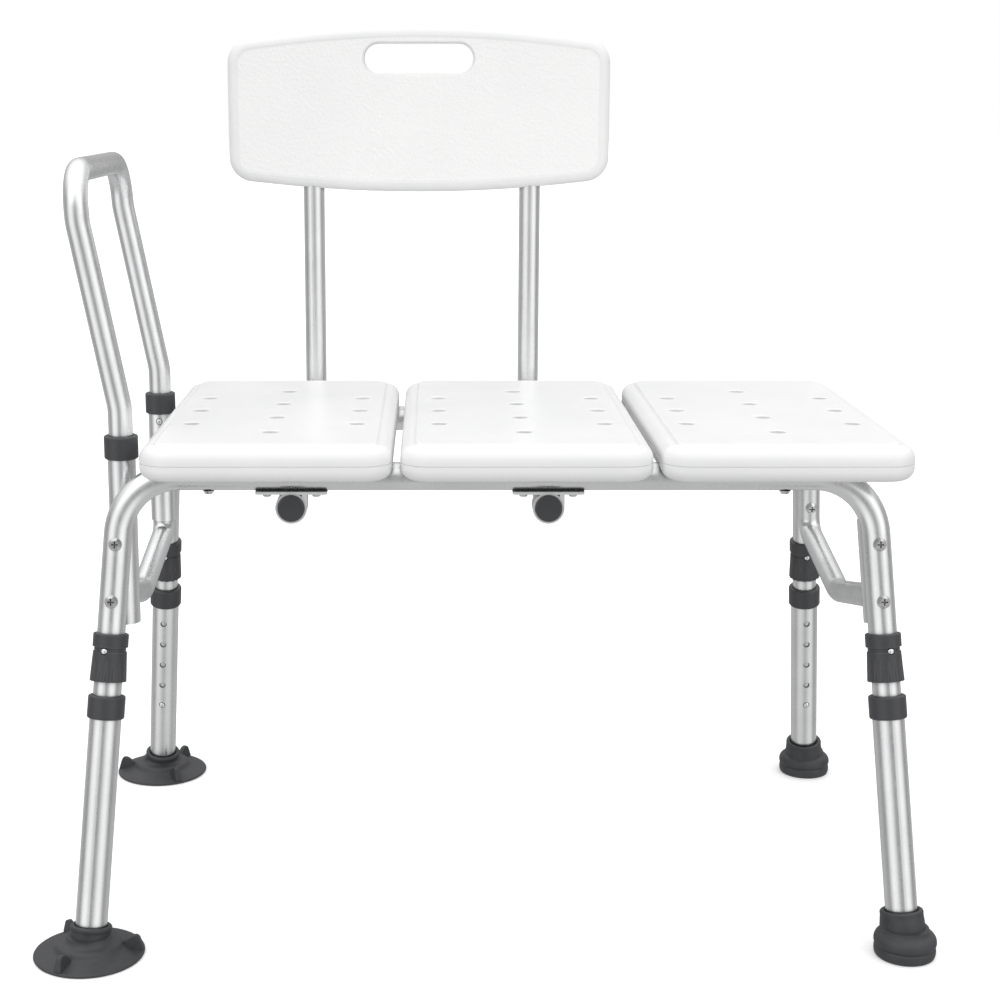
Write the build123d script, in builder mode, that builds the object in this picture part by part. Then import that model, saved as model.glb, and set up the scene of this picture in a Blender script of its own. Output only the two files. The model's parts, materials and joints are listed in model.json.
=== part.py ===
"""Bath transfer bench: tube frame, three moulded seat pads, slide-in backrest, lift-off arm rail."""

import os
from math import sqrt

from build123d import *

# Frame of reference: +Z up, +Y to the back of the bench, origin on the floor under the outline's middle.
# The left feet are suction cups and the right feet are plain tips, so the frame stands off to the right.
cup_radius = 50.0
tip_radius = 28.0
frame_x = (cup_radius - tip_radius) / 2

# Tubes
frame_od = 25.4
frame_id = 22.4
lower_od = 28.6
lower_id = 25.6
slim_od = 22.2
slim_id = 19.2
sleeve_id = 22.4
swage_od = 22.2
swage_id = 19.4

# Leg lines, from the floor to the rail
foot_x = 368.2
foot_y = 230.6
rail_x = 337.9
rail_y = 152.0
rail_z = 424.5
frame_bend = 55.0
frame_end_z = 262.0
slope_x = (foot_x - rail_x) / rail_z
slope_y = (foot_y - rail_y) / rail_z
per_height = sqrt(1 + slope_x**2 + slope_y**2)

# Leg extensions: distances along the leg from the floor, and collar sizes
hole_pitch = 25.4
hole_count = 5
button_s = 93.6
button_hole = 7.0
lower_tube_start = 14.0
inner_tube_start = 72.0
lower_collar_start = 214.0
lower_collar_height = 21.0
lower_collar_od = 33.6
lower_collar_lip = 2.0
upper_collar_start = 248.0
skirt_height = 26.5
neck_height = 4.5
ring_height = 12.0
skirt_bottom_od = 33.0
skirt_top_od = 30.4
neck_od = 28.6
ring_od = 32.0
flute_count = 16
flute_radius = 1.3
swage_start = 264.0
swage_end = 306.0
collar_clearance = 0.1
collar_round = 1.8
coupling_s = upper_collar_start + skirt_height + 1.2
coupling_turn = 13.0

# Spring buttons
pin_radius = 3.2
pin_clearance = 0.3
leaf_length = 26.0
leaf_width = 6.0
leaf_thickness = 0.9

# Feet
cup_height = 19.0
cup_rim = 3.0
cup_hollow = 6.5
cup_seat = 6.5
cup_neck_radius = 19.0
socket_radius = 17.2
cup_socket_end = 27.0
cup_lip = 0.8
tab_root = 30.0
tab_crest = 38.0
tab_tip = 43.5
tab_heel = 49.0
tab_height = 17.0
tab_thickness = 6.0
tab_angles = {"front_left": 5.0, "rear_left": 60.0}
tip_socket_bottom_radius = 20.6
tip_socket_top_radius = 18.6
tip_socket_end = 41.0
tip_flange_height = 26.0
tip_band = 11.0
tip_groove = 1.4

# Seat pads
pad_width = 224.5
pad_gap = 7.0
pad_depth = 400.0
pad_x = frame_x + 25.5
pad_bottom = 427.0
pad_rim_top = 457.6
pad_top = 460.0
pad_corner = 26.0
panel_inset = 13.0
panel_corner = 19.5
panel_round = 1.6
pad_top_round = 9.0
pad_bottom_round = 11.0
pad_wall = 3.0
saddle_radius = 13.0
drain_radius = 8.0
drain_post = 11.0
drain_column = 77.3
drain_row = 78.2
drain_side_row = 74.0
drain_y = -6.0
boss_radius = 8.0

# Screws under the rails
screw_radius = 2.5
screw_hole = 2.8
screw_head_radius = 5.5
screw_head_height = 3.4
screw_top = 451.0
recess_width = 1.3
recess_length = 6.0
recess_depth = 1.8

# Backrest
back_x = frame_x - 69.5
panel_x = back_x - 3.0
back_spacing = 231.5
back_tube_y = 222.0
back_tube_top = 800.0
back_run_z = 397.0
back_run_front = -161.5
back_bend = 50.0
panel_width = 405.0
panel_thickness = 30.0
panel_side_bottom = 674.0
panel_side_top = 816.0
panel_bottom = 660.0
panel_crown = 833.0
back_corner = 26.0
back_edge = 9.0
back_wall = 3.5
slot_width = 116.0
slot_height = 31.5
slot_z = 799.5
slot_post = 4.0
back_screws_z = (690.0, 770.0)
back_screw_radius = 2.0
back_screw_hole = 2.2
back_screw_head_radius = 4.2
back_screw_head_height = 2.8
back_screw_length = 10.0

# Backrest brackets and their bushings
plate_width = 64.5
plate_depth = 20.0
plate_thickness = 2.4
clamp_outer = 14.3
clamp_inner = 12.25
web_thickness = 4.4
bushing_outer = 12.15
bushing_inner = 11.2
bushing_length = 20.2
bushing_cap = 2.5
screw_spacing = 44.7

# Arm rail, its sleeves and their collars
arm_x = frame_x - 342.5
arm_y = 124.0
arm_bottom = 376.0
arm_lean_bottom = 482.0
arm_lean_top = 650.0
arm_top = 695.0
arm_top_x = frame_x - 378.0
arm_shoulder_x = frame_x - 375.0
arm_bend = 38.0
arm_button_z = 428.0
sleeve_top = 455.0
front_sleeve_bottom = 281.0
rear_sleeve_bottom = 321.5
arm_collar_od = 31.0
arm_collar_bottom = 435.5
arm_collar_lip = 2.0
arm_collar_bore = 11.5

# Side braces and the bolts that hold them
brace_vertex_y = 8.0
brace_vertex_z = 274.0
brace_bow = 5.0
brace_rear_kink = 308.5
brace_kink_radius = 16.0
brace_vertex_radius = 45.0
brace_end_run = 40.0
brace_end_radius = 250.0
left_brace_rear_top = 370.0
right_brace_rear_top = 392.0
doubler_bottom = 293.0
doubler_top = 386.0
front_bolts_z = (314.0, 364.5)
rear_bolts_z = (337.0, 368.0)
bolt_radius = 3.0
bolt_hole = 3.3
bolt_head_radius = 6.0
bolt_head_height = 3.8
bolt_end = 1.5
nut_across_flats = 10.0
nut_height = 5.0
nut_bore = 3.05
nut_seat_gap = 1.2
spacer_radius = 7.0
insert_radius = 9.2
insert_length = 16.0
insert_gap = 2.0
saddle_gap = 0.1

pieces = []


def keep(builder, label):
    """Label a finished part and put it in the list that is exported."""
    builder.part.label = label
    pieces.append(builder.part)


def leg_point(side, end, z):
    """Point on a leg's axis at height z; side is -1 left or 1 right, end is -1 front or 1 rear."""
    return Vector(frame_x + side * (foot_x - slope_x * z), end * (foot_y - slope_y * z), z)


def leg_plane(side, end):
    """Plane at the foot of a leg: Z runs up the leg and X points to the front of the bench."""
    axis = (leg_point(side, end, rail_z) - leg_point(side, end, 0)).normalized()
    forward = Vector(0, -1, 0)
    facing = (forward - axis * forward.dot(axis)).normalized()
    return Plane(origin=leg_point(side, end, 0), x_dir=facing, z_dir=axis)


def inward_plane(side, end, z):
    """Plane on a leg's axis at height z, with Z square to the leg and pointing under the seat."""
    axis = leg_plane(side, end).z_dir
    inward = Vector(0, -end, 0)
    normal = (inward - axis * inward.dot(axis)).normalized()
    return Plane(origin=leg_point(side, end, z), x_dir=(1, 0, 0), z_dir=normal)


def facing_front(x, y, z):
    """Upright plane at a point, with Z pointing to the front of the bench."""
    return Plane(origin=(x, y, z), x_dir=(1, 0, 0), z_dir=(0, -1, 0))


def beside_leg(side, end, z, distance):
    """Point a distance from a leg's axis, square to it and towards the inside of the bench."""
    plane = inward_plane(side, end, z)
    return plane.origin + plane.z_dir * distance


def drill(plane, radius, start, length):
    """Cut a round hole in the part being built, along the plane's Z."""
    with BuildSketch(plane.offset(start)) as hole:
        Circle(radius)
    extrude(hole.sketch, amount=length, mode=Mode.SUBTRACT)


def ring(plane, start, length, outer, inner):
    """Add a straight tube to the part being built, along the plane's Z."""
    with BuildSketch(plane.offset(start)) as wall:
        Circle(outer)
        Circle(inner, mode=Mode.SUBTRACT)
    extrude(wall.sketch, amount=length)


def sweep_tube(points, radii, outer, inner):
    """Sweep a tube along straight runs joined by arcs."""
    with BuildLine() as path:
        FilletPolyline(*points, radius=radii)
    with BuildSketch(Plane(origin=path.line @ 0, z_dir=path.line % 0)) as wall:
        Circle(outer)
        Circle(inner, mode=Mode.SUBTRACT)
    sweep(wall.sketch, path=path.line)


def pan_head(plane, start, radius, height):
    """Add a domed screw head with a cross recess; it rises along the plane's Z."""
    with BuildSketch(plane.offset(start)) as base:
        Circle(radius)
    with BuildSketch(plane.offset(start + height)) as crown:
        Circle(radius * 0.6)
    loft([base.sketch.face(), crown.sketch.face()])
    with BuildSketch(plane.offset(start + height)) as recess:
        Rectangle(recess_length, recess_width)
        Rectangle(recess_width, recess_length)
    extrude(recess.sketch, amount=-recess_depth, mode=Mode.SUBTRACT)


def radial_plane(plane, s, turn):
    """Plane on a leg's axis at distance s, with Z pointing out square to the axis at an angle."""
    outward = plane.x_dir.rotate(Axis((0, 0, 0), plane.z_dir), turn)
    return Plane(origin=plane.origin + plane.z_dir * s, x_dir=plane.z_dir, z_dir=outward)


def spring_button(plane, bore_radius, tip, label):
    """Snap button: a domed pin on a short leaf that lies inside the tube."""
    leaf_bottom = sqrt((bore_radius - pin_clearance) ** 2 - (leaf_width / 2) ** 2) - leaf_thickness
    with BuildPart() as button:
        with BuildSketch(plane.offset(leaf_bottom)):
            Rectangle(leaf_length, leaf_width)
        extrude(amount=leaf_thickness)
        with BuildSketch(plane.offset(leaf_bottom)):
            Circle(pin_radius)
        extrude(amount=tip - leaf_bottom)
        fillet(faces().sort_by(Axis(plane.origin, plane.z_dir))[-1].edges(), pin_radius * 0.75)
    keep(button, label)


# Front and rear frames: one bent tube each
end_drop = (rail_z - frame_end_z) * sqrt(1 + slope_y**2)
end_x = rail_x + slope_x * (rail_z - frame_end_z)
seat_screws_x = (pad_x - 285.5, pad_x + 234.3)
bracket_x = (back_x - back_spacing / 2, back_x + back_spacing / 2)
screw_columns = list(seat_screws_x)
for x in bracket_x:
    screw_columns.append(x - screw_spacing / 2)
    screw_columns.append(x + screw_spacing / 2)

corners = {
    "front_left": (-1, -1),
    "front_right": (1, -1),
    "rear_left": (-1, 1),
    "rear_right": (1, 1),
}
bolts_z = {-1: front_bolts_z, 1: rear_bolts_z}

for end, label in ((-1, "front_frame"), (1, "rear_frame")):
    up = Vector(0, -end * slope_y, 1).normalized()
    rail_middle = Vector(frame_x, end * rail_y, rail_z)
    route = [
        rail_middle + Vector(-end_x, 0, 0) - up * end_drop,
        rail_middle + Vector(-rail_x, 0, 0),
        rail_middle + Vector(rail_x, 0, 0),
        rail_middle + Vector(end_x, 0, 0) - up * end_drop,
    ]
    with BuildPart() as frame:
        sweep_tube(route, frame_bend, frame_od / 2, frame_id / 2)
        for side in (-1, 1):
            for z in bolts_z[end]:
                drill(inward_plane(side, end, z), bolt_hole, -frame_od, 2 * frame_od)
            turn = coupling_turn * side if end < 0 else 0
            pin_plane = radial_plane(leg_plane(side, end), coupling_s, turn)
            drill(pin_plane, pin_radius + pin_clearance, 0, frame_od)
        for x in screw_columns:
            drill(Plane(origin=(x, end * rail_y, rail_z)), screw_hole, -frame_od, 2 * frame_od)
    keep(frame, label)

# Leg extensions, one at each corner
for corner, (side, end) in corners.items():
    plane = leg_plane(side, end)
    turn = coupling_turn * side if end < 0 else 0
    height_turn = 180 if end < 0 else 0
    coupling_plane = radial_plane(plane, coupling_s, turn)
    height_plane = radial_plane(plane, button_s, height_turn)

    with BuildPart() as upper_collar:
        with BuildSketch(plane.offset(upper_collar_start)):
            Circle(skirt_bottom_od / 2)
        with BuildSketch(plane.offset(upper_collar_start + skirt_height)):
            Circle(skirt_top_od / 2)
        loft()
        with BuildSketch(plane.offset(upper_collar_start)):
            with PolarLocations(skirt_bottom_od / 2 + 0.3, flute_count):
                Circle(flute_radius)
        extrude(amount=skirt_height - 4, mode=Mode.SUBTRACT)
        with BuildSketch(plane.offset(upper_collar_start + skirt_height)):
            Circle(neck_od / 2)
        extrude(amount=neck_height)
        with BuildSketch(plane.offset(upper_collar_start + skirt_height + neck_height)):
            Circle(ring_od / 2)
        extrude(amount=ring_height)
        fillet(faces().sort_by(Axis(plane.origin, plane.z_dir))[-1].edges(), 1.2)
        drill(plane, frame_od / 2 + collar_clearance, upper_collar_start - 1, 60)
        drill(coupling_plane, pin_radius + pin_clearance, 0, ring_od)
    keep(upper_collar, f"upper_collar_{corner}")

    with BuildPart() as inner_tube:
        ring(plane, inner_tube_start, swage_start - inner_tube_start, frame_od / 2, frame_id / 2)
        ring(plane, swage_start, swage_end - swage_start, swage_od / 2, swage_id / 2)
        with BuildSketch(plane.offset(swage_start - 3)):
            Circle(frame_od / 2)
            Circle(swage_id / 2, mode=Mode.SUBTRACT)
        extrude(amount=3)
        drill(coupling_plane, pin_radius + pin_clearance, 0, frame_od)
        drill(height_plane, pin_radius + pin_clearance, 0, frame_od)
    keep(inner_tube, f"inner_leg_tube_{corner}")

    with BuildPart() as lower_collar:
        ring(
            plane,
            lower_collar_start,
            lower_collar_height,
            lower_collar_od / 2,
            lower_od / 2 + collar_clearance,
        )
        fillet(edges().filter_by(GeomType.CIRCLE).group_by(SortBy.RADIUS)[-1], collar_round)
        ring(
            plane,
            lower_collar_start + lower_collar_height - lower_collar_lip,
            lower_collar_lip,
            lower_od / 2 + 1,
            frame_od / 2 + 0.4,
        )
    keep(lower_collar, f"lower_collar_{corner}")

    lower_tube_end = lower_collar_start + lower_collar_height - lower_collar_lip - 0.1
    with BuildPart() as lower_tube:
        ring(plane, lower_tube_start, lower_tube_end - lower_tube_start, lower_od / 2, lower_id / 2)
        for k in range(hole_count):
            hole_plane = radial_plane(plane, button_s + k * hole_pitch, height_turn)
            drill(hole_plane, button_hole / 2, 0, lower_od)
    keep(lower_tube, f"lower_leg_tube_{corner}")

    spring_button(coupling_plane, swage_id / 2, neck_od / 2 + 1.6, f"coupling_button_{corner}")
    spring_button(height_plane, frame_id / 2, lower_od / 2 + 2.2, f"height_button_{corner}")

# Suction cups on the left legs
for corner in ("front_left", "rear_left"):
    side, end = corners[corner]
    plane = leg_plane(side, end)
    ground = Plane(origin=leg_point(side, end, 0))
    section = facing_front(*ground.origin)
    with BuildPart() as cup:
        with BuildSketch(section):
            with BuildLine():
                Polyline(
                    (0, cup_hollow),
                    (cup_radius - cup_seat - 4, 1.4),
                    (cup_radius - cup_seat, 0),
                    (cup_radius - 1.5, 0),
                    (cup_radius, cup_rim),
                )
                Spline(
                    (cup_radius, cup_rim),
                    (cup_radius * 0.7, cup_height * 0.42),
                    (cup_neck_radius, cup_height),
                )
                Line((cup_neck_radius, cup_height), (0, cup_height))
                Line((0, cup_height), (0, cup_hollow))
            make_face()
        revolve(axis=Axis(ground.origin, (0, 0, 1)))
        with BuildSketch(plane.offset(12)):
            Circle(socket_radius + cup_lip)
        with BuildSketch(plane.offset(cup_socket_end)):
            Circle(socket_radius)
        loft()
        for k in range(3):
            turned = ground.rotated((0, 0, tab_angles[corner] + 120 * k))
            fin = Plane(origin=ground.origin, x_dir=turned.x_dir, z_dir=-turned.y_dir)
            with BuildSketch(fin):
                with BuildLine():
                    Polyline(
                        (tab_root, cup_rim),
                        (tab_root, cup_rim + 6),
                        (tab_crest, tab_height - 1),
                        (tab_tip, tab_height),
                        (tab_heel, cup_rim),
                        close=True,
                    )
                make_face()
            extrude(amount=tab_thickness / 2, both=True)
        drill(plane, lower_od / 2 + 0.05, lower_tube_start - 0.1, 40)
    keep(cup, f"suction_cup_{corner}")

# Plain rubber tips on the right legs
for corner in ("front_right", "rear_right"):
    side, end = corners[corner]
    plane = leg_plane(side, end)
    ground = Plane(origin=leg_point(side, end, 0))
    section = facing_front(*ground.origin)
    with BuildPart() as tip:
        with BuildSketch(section):
            with BuildLine():
                Polyline(
                    (0, 2),
                    (tip_radius - 6, 2),
                    (tip_radius - 6, 0),
                    (tip_radius - 2, 0),
                    (tip_radius - 1, 3),
                    (tip_radius - 1, tip_band - 2),
                    (tip_radius - 1 - tip_groove, tip_band),
                    (tip_radius, tip_band + 2),
                    (tip_radius, tip_band + 4),
                )
                Spline(
                    (tip_radius, tip_band + 4),
                    (tip_radius - 3, tip_flange_height - 5),
                    (tip_socket_bottom_radius, tip_flange_height),
                )
                Line((tip_socket_bottom_radius, tip_flange_height), (0, tip_flange_height))
                Line((0, tip_flange_height), (0, 2))
            make_face()
        revolve(axis=Axis(ground.origin, (0, 0, 1)))
        with BuildSketch(plane.offset(15)):
            Circle(tip_socket_bottom_radius)
        with BuildSketch(plane.offset(tip_socket_end)):
            Circle(tip_socket_top_radius)
        loft()
        drill(plane, lower_od / 2 + 0.05, lower_tube_start - 0.1, 60)
    keep(tip, f"rubber_tip_{corner}")

# Arm rail sleeves, their collars, and the doubler tube behind the front right leg
for end, bottom, label in ((-1, front_sleeve_bottom, "front"), (1, rear_sleeve_bottom, "rear")):
    upright = Plane(origin=(arm_x, end * arm_y, 0))
    button_plane = Plane(origin=(arm_x, end * arm_y, arm_button_z), x_dir=(0, 0, 1), z_dir=(0, -end, 0))
    with BuildPart() as sleeve:
        ring(upright, bottom, sleeve_top - bottom, frame_od / 2, sleeve_id / 2)
        drill(button_plane, pin_radius + pin_clearance, 0, frame_od)
        for z in bolts_z[end]:
            drill(inward_plane(-1, end, z), bolt_hole, 0, 2.5 * frame_od if end < 0 else 1.6 * frame_od)
    keep(sleeve, f"arm_sleeve_{label}")

    with BuildPart() as arm_collar:
        ring(
            upright,
            arm_collar_bottom,
            sleeve_top - arm_collar_bottom + arm_collar_lip,
            arm_collar_od / 2,
            frame_od / 2 + collar_clearance,
        )
        fillet(edges().filter_by(GeomType.CIRCLE).group_by(SortBy.RADIUS)[-1], collar_round)
        ring(upright, sleeve_top + 0.05, arm_collar_lip - 0.05, frame_od / 2 + 1, arm_collar_bore)
    keep(arm_collar, f"arm_collar_{label}")

    spring_button(button_plane, slim_id / 2, frame_od / 2 + 2, f"arm_button_{label}")

doubler_offset = frame_od / 2 + slim_od / 2
with BuildPart() as doubler:
    start = beside_leg(1, -1, doubler_bottom, doubler_offset)
    along = leg_plane(1, -1).z_dir
    ring(
        Plane(origin=start, x_dir=(1, 0, 0), z_dir=along),
        0,
        (doubler_top - doubler_bottom) * per_height,
        slim_od / 2,
        slim_id / 2,
    )
    for z in front_bolts_z:
        drill(inward_plane(1, -1, z), bolt_hole, 0, 2 * frame_od)
keep(doubler, "brace_doubler_tube")

# Arm rail
arm_route = []
for end in (-1, 1):
    upright_points = [
        (arm_x, end * arm_y, arm_bottom),
        (arm_x, end * arm_y, arm_lean_bottom),
        (arm_shoulder_x, end * arm_y, arm_lean_top),
        (arm_top_x, end * arm_y, arm_top),
    ]
    arm_route += upright_points if end < 0 else upright_points[::-1]
with BuildPart() as arm_rail:
    sweep_tube(arm_route, [60, 60, arm_bend, arm_bend, 60, 60], slim_od / 2, slim_id / 2)
    for end in (-1, 1):
        button_plane = Plane(origin=(arm_x, end * arm_y, arm_button_z), x_dir=(0, 0, 1), z_dir=(0, -end, 0))
        drill(button_plane, pin_radius + pin_clearance, 0, slim_od)
keep(arm_rail, "arm_rail")

# Side braces: the rear end runs up along its leg, the front end is in line with the lower bolt
lean = sqrt(1 + slope_y**2)
doubler_far = doubler_offset + slim_od / 2
lower_bolt, upper_bolt = front_bolts_z
brace_x = foot_x - slope_x * (brace_rear_kink + 30) + brace_bow
left_reach = (foot_y - slope_y * lower_bolt - arm_y) * lean
left_route = [
    (arm_x, arm_y, left_brace_rear_top),
    (arm_x, arm_y, brace_rear_kink),
    (frame_x - brace_x, brace_vertex_y, brace_vertex_z),
    beside_leg(-1, -1, lower_bolt, left_reach + brace_end_run),
    beside_leg(-1, -1, lower_bolt, left_reach),
]
right_route = [
    beside_leg(1, 1, right_brace_rear_top, doubler_offset),
    beside_leg(1, 1, brace_rear_kink, doubler_offset),
    (frame_x + brace_x, brace_vertex_y, brace_vertex_z),
    beside_leg(1, -1, lower_bolt, doubler_offset + brace_end_run),
    beside_leg(1, -1, lower_bolt, doubler_offset),
]
brace_bends = [brace_kink_radius, brace_vertex_radius, brace_end_radius]
left_stop = Plane(origin=(arm_x, -arm_y, 0))
right_stop = Plane(origin=beside_leg(1, -1, 0, doubler_offset), z_dir=leg_plane(1, -1).z_dir)
for side, route, label in ((-1, left_route, "side_brace_left"), (1, right_route, "side_brace_right")):
    with BuildPart() as brace:
        sweep_tube(route, brace_bends, slim_od / 2, slim_id / 2)
        for z in rear_bolts_z:
            drill(inward_plane(side, 1, z), bolt_hole, 0, 1.6 * frame_od)
        if side < 0:
            drill(left_stop, frame_od / 2 + saddle_gap, 0, rail_z)
        else:
            drill(right_stop, slim_od / 2 + saddle_gap, 0, rail_z)
    keep(brace, label)

# Bolts, as plane with Z towards the head, distance to the head's seat, and distance back to the tail
# Nuts, as plane and distance to the face nearer the leg's axis
bolts = []
nuts = []
inserts = []
for side in (-1, 1):
    for z in front_bolts_z:
        plane = inward_plane(side, -1, z)
        outward = Plane(origin=plane.origin, x_dir=plane.x_dir, z_dir=-plane.z_dir)
        far = doubler_far
        if side < 0:
            far = (foot_y - slope_y * z - arm_y + frame_od / 2) * lean
        if z == lower_bolt:
            inserts.append((plane, far + insert_gap))
            bolts.append((outward, frame_od / 2, far + insert_length))
        else:
            nuts.append((plane, far + nut_seat_gap))
            bolts.append((outward, frame_od / 2, far + nut_seat_gap + nut_height + bolt_end))
for z in rear_bolts_z:
    plane = inward_plane(-1, 1, z)
    outward = Plane(origin=plane.origin, x_dir=plane.x_dir, z_dir=-plane.z_dir)
    bolts.append((outward, frame_od / 2, (foot_y - slope_y * z - arm_y) * lean))
    plane = inward_plane(1, 1, z)
    nuts.append((plane, -frame_od / 2 - nut_height))
    bolts.append((plane, doubler_far, frame_od / 2 + nut_height + bolt_end))

with BuildPart() as leg_bolts:
    for plane, seat, tail in bolts:
        with BuildSketch(plane.offset(-tail)):
            Circle(bolt_radius)
        extrude(amount=tail + seat)
        pan_head(plane, seat, bolt_head_radius, bolt_head_height)
keep(leg_bolts, "leg_bolts")

with BuildPart() as leg_nuts:
    for plane, start in nuts:
        with BuildSketch(plane.offset(start)):
            RegularPolygon(nut_across_flats / 2, 6, major_radius=False)
            Circle(nut_bore, mode=Mode.SUBTRACT)
        extrude(amount=nut_height)
keep(leg_nuts, "leg_nuts")

with BuildPart() as brace_inserts:
    for plane, start in inserts:
        ring(plane, start, insert_length, insert_radius, nut_bore)
keep(brace_inserts, "brace_inserts")

with BuildPart() as leg_spacers:
    for end in (-1, 1):
        for z in bolts_z[end]:
            plane = inward_plane(-1, end, z)
            drop = (foot_y - slope_y * z - arm_y) * lean
            with BuildSketch(plane):
                Circle(spacer_radius)
                Circle(bolt_hole, mode=Mode.SUBTRACT)
            extrude(amount=drop)
        drill(leg_plane(-1, end), frame_od / 2, 0, rail_z)
        drill(Plane(origin=(arm_x, end * arm_y, 0)), frame_od / 2, 0, rail_z)
keep(leg_spacers, "leg_spacers")

# Backrest brackets under the rails, and the plastic bushings that they hold
rail_bottom = rail_z - frame_od / 2
for x, side_label in zip(bracket_x, ("left", "right")):
    for end, end_label in ((-1, "front"), (1, "rear")):
        place = Plane(origin=(x, end * rail_y, rail_bottom))
        back_face = facing_front(x, end * rail_y + plate_depth / 2, back_run_z)
        with BuildPart() as bracket:
            with BuildSketch(place.offset(-plate_thickness)):
                RectangleRounded(plate_width, plate_depth, 3)
            extrude(amount=plate_thickness)
            with BuildSketch(back_face):
                Circle(clamp_outer)
                with Locations((clamp_outer - web_thickness / 2, (rail_bottom - back_run_z) / 2)):
                    Rectangle(web_thickness, rail_bottom - back_run_z - 1)
            extrude(amount=plate_depth)
            with BuildSketch(back_face):
                Circle(clamp_inner)
            extrude(amount=plate_depth, mode=Mode.SUBTRACT)
            for offset in (-screw_spacing / 2, screw_spacing / 2):
                screw_plane = Plane(origin=(x + offset, end * rail_y, rail_bottom))
                drill(screw_plane, screw_hole, -2 * plate_thickness, plate_depth)
        keep(bracket, f"back_bracket_{end_label}_{side_label}")

        with BuildPart() as bushing:
            with BuildSketch(back_face):
                Circle(bushing_outer)
                Circle(bushing_inner, mode=Mode.SUBTRACT)
            extrude(amount=bushing_length)
            if end < 0:
                with BuildSketch(back_face.offset(bushing_length)):
                    Circle(bushing_outer)
                extrude(amount=bushing_cap)
                fillet(faces().sort_by(Axis.Y)[0].edges(), 1)
        keep(bushing, f"back_bushing_{end_label}_{side_label}")

# Screws under the rails, through brackets and rails into the pads
with BuildPart() as seat_screws:
    for end in (-1, 1):
        for x in screw_columns:
            under_rail = rail_bottom if x in seat_screws_x else rail_bottom - plate_thickness
            down = Plane(origin=(x, end * rail_y, under_rail), x_dir=(1, 0, 0), z_dir=(0, 0, -1))
            with BuildSketch(down):
                Circle(screw_radius)
            extrude(amount=-(screw_top - under_rail))
            pan_head(down, 0, screw_head_radius, screw_head_height)
keep(seat_screws, "seat_screws")

# Seat pads: hollow mouldings with drain tubes, saddles for the rails and bosses for the screws
for k, label in ((-1, "left"), (0, "middle"), (1, "right")):
    centre_x = pad_x + k * (pad_width + pad_gap)
    drains = [(centre_x, drain_y + drain_row * row) for row in (-1.5, -0.5, 0.5, 1.5)]
    for column in (-drain_column, drain_column):
        drains += [(centre_x + column, drain_y + drain_side_row * row) for row in (-1, 0, 1)]
    bosses = []
    for x in screw_columns:
        if abs(x - centre_x) < pad_width / 2:
            bosses += [(x, -rail_y), (x, rail_y)]

    with BuildPart() as hollow:
        with BuildSketch(Plane.XY.offset(pad_bottom + pad_wall)):
            with Locations((centre_x, 0)):
                RectangleRounded(
                    pad_width - 4 * pad_wall,
                    pad_depth - 4 * pad_wall,
                    pad_corner - 2 * pad_wall,
                )
        extrude(amount=pad_rim_top - pad_bottom - 2 * pad_wall)
        for end in (-1, 1):
            with BuildSketch(Plane.XY.offset(pad_bottom)):
                with Locations((centre_x, end * rail_y)):
                    Rectangle(pad_width, 2 * (saddle_radius + pad_wall))
            extrude(amount=rail_z + saddle_radius + pad_wall - pad_bottom, mode=Mode.SUBTRACT)
        with BuildSketch(Plane.XY.offset(pad_bottom)):
            with Locations(*drains):
                Circle(drain_post)
            with Locations(*bosses):
                Circle(boss_radius)
        extrude(amount=pad_top - pad_bottom, mode=Mode.SUBTRACT)

    with BuildPart() as pad:
        with BuildSketch(Plane.XY.offset(pad_bottom)):
            with Locations((centre_x, 0)):
                RectangleRounded(pad_width, pad_depth, pad_corner)
        extrude(amount=pad_rim_top - pad_bottom)
        fillet(faces().sort_by(Axis.Z)[-1].edges(), pad_top_round)
        fillet(faces().sort_by(Axis.Z)[0].edges(), pad_bottom_round)
        with BuildSketch(Plane.XY.offset(pad_rim_top - 1)):
            with Locations((centre_x, 0)):
                RectangleRounded(pad_width - 2 * panel_inset, pad_depth - 2 * panel_inset, panel_corner)
        extrude(amount=pad_top - pad_rim_top + 1)
        fillet(faces().sort_by(Axis.Z)[-1].edges(), panel_round)
        for end in (-1, 1):
            saddle = Plane(origin=(centre_x - pad_width, end * rail_y, rail_z), z_dir=(1, 0, 0))
            drill(saddle, saddle_radius, 0, 2 * pad_width)
        with BuildSketch(Plane.XY.offset(pad_bottom)):
            with Locations(*drains):
                Circle(drain_radius)
        extrude(amount=pad_top - pad_bottom, mode=Mode.SUBTRACT)
        with BuildSketch(Plane.XY.offset(pad_bottom)):
            with Locations(*bosses):
                Circle(screw_hole)
        extrude(amount=screw_top + 1 - pad_bottom, mode=Mode.SUBTRACT)
        add(hollow.part, mode=Mode.SUBTRACT)
    keep(pad, f"seat_pad_{label}")


def back_outline(inset):
    """Outline of the backrest panel on its mid plane, drawn in by an inset."""
    half = panel_width / 2 - inset
    low = panel_side_bottom + inset
    high = panel_side_top - inset
    with BuildLine() as outline:
        ThreePointArc((-half, low), (0, panel_bottom + inset), (half, low))
        Line((half, low), (half, high))
        ThreePointArc((half, high), (0, panel_crown - inset), (-half, high))
        Line((-half, high), (-half, low))
    with BuildSketch(facing_front(panel_x, back_tube_y, 0)) as shape:
        make_face(outline.edges())
        fillet(shape.vertices(), back_corner - inset)
    return shape.sketch


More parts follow.
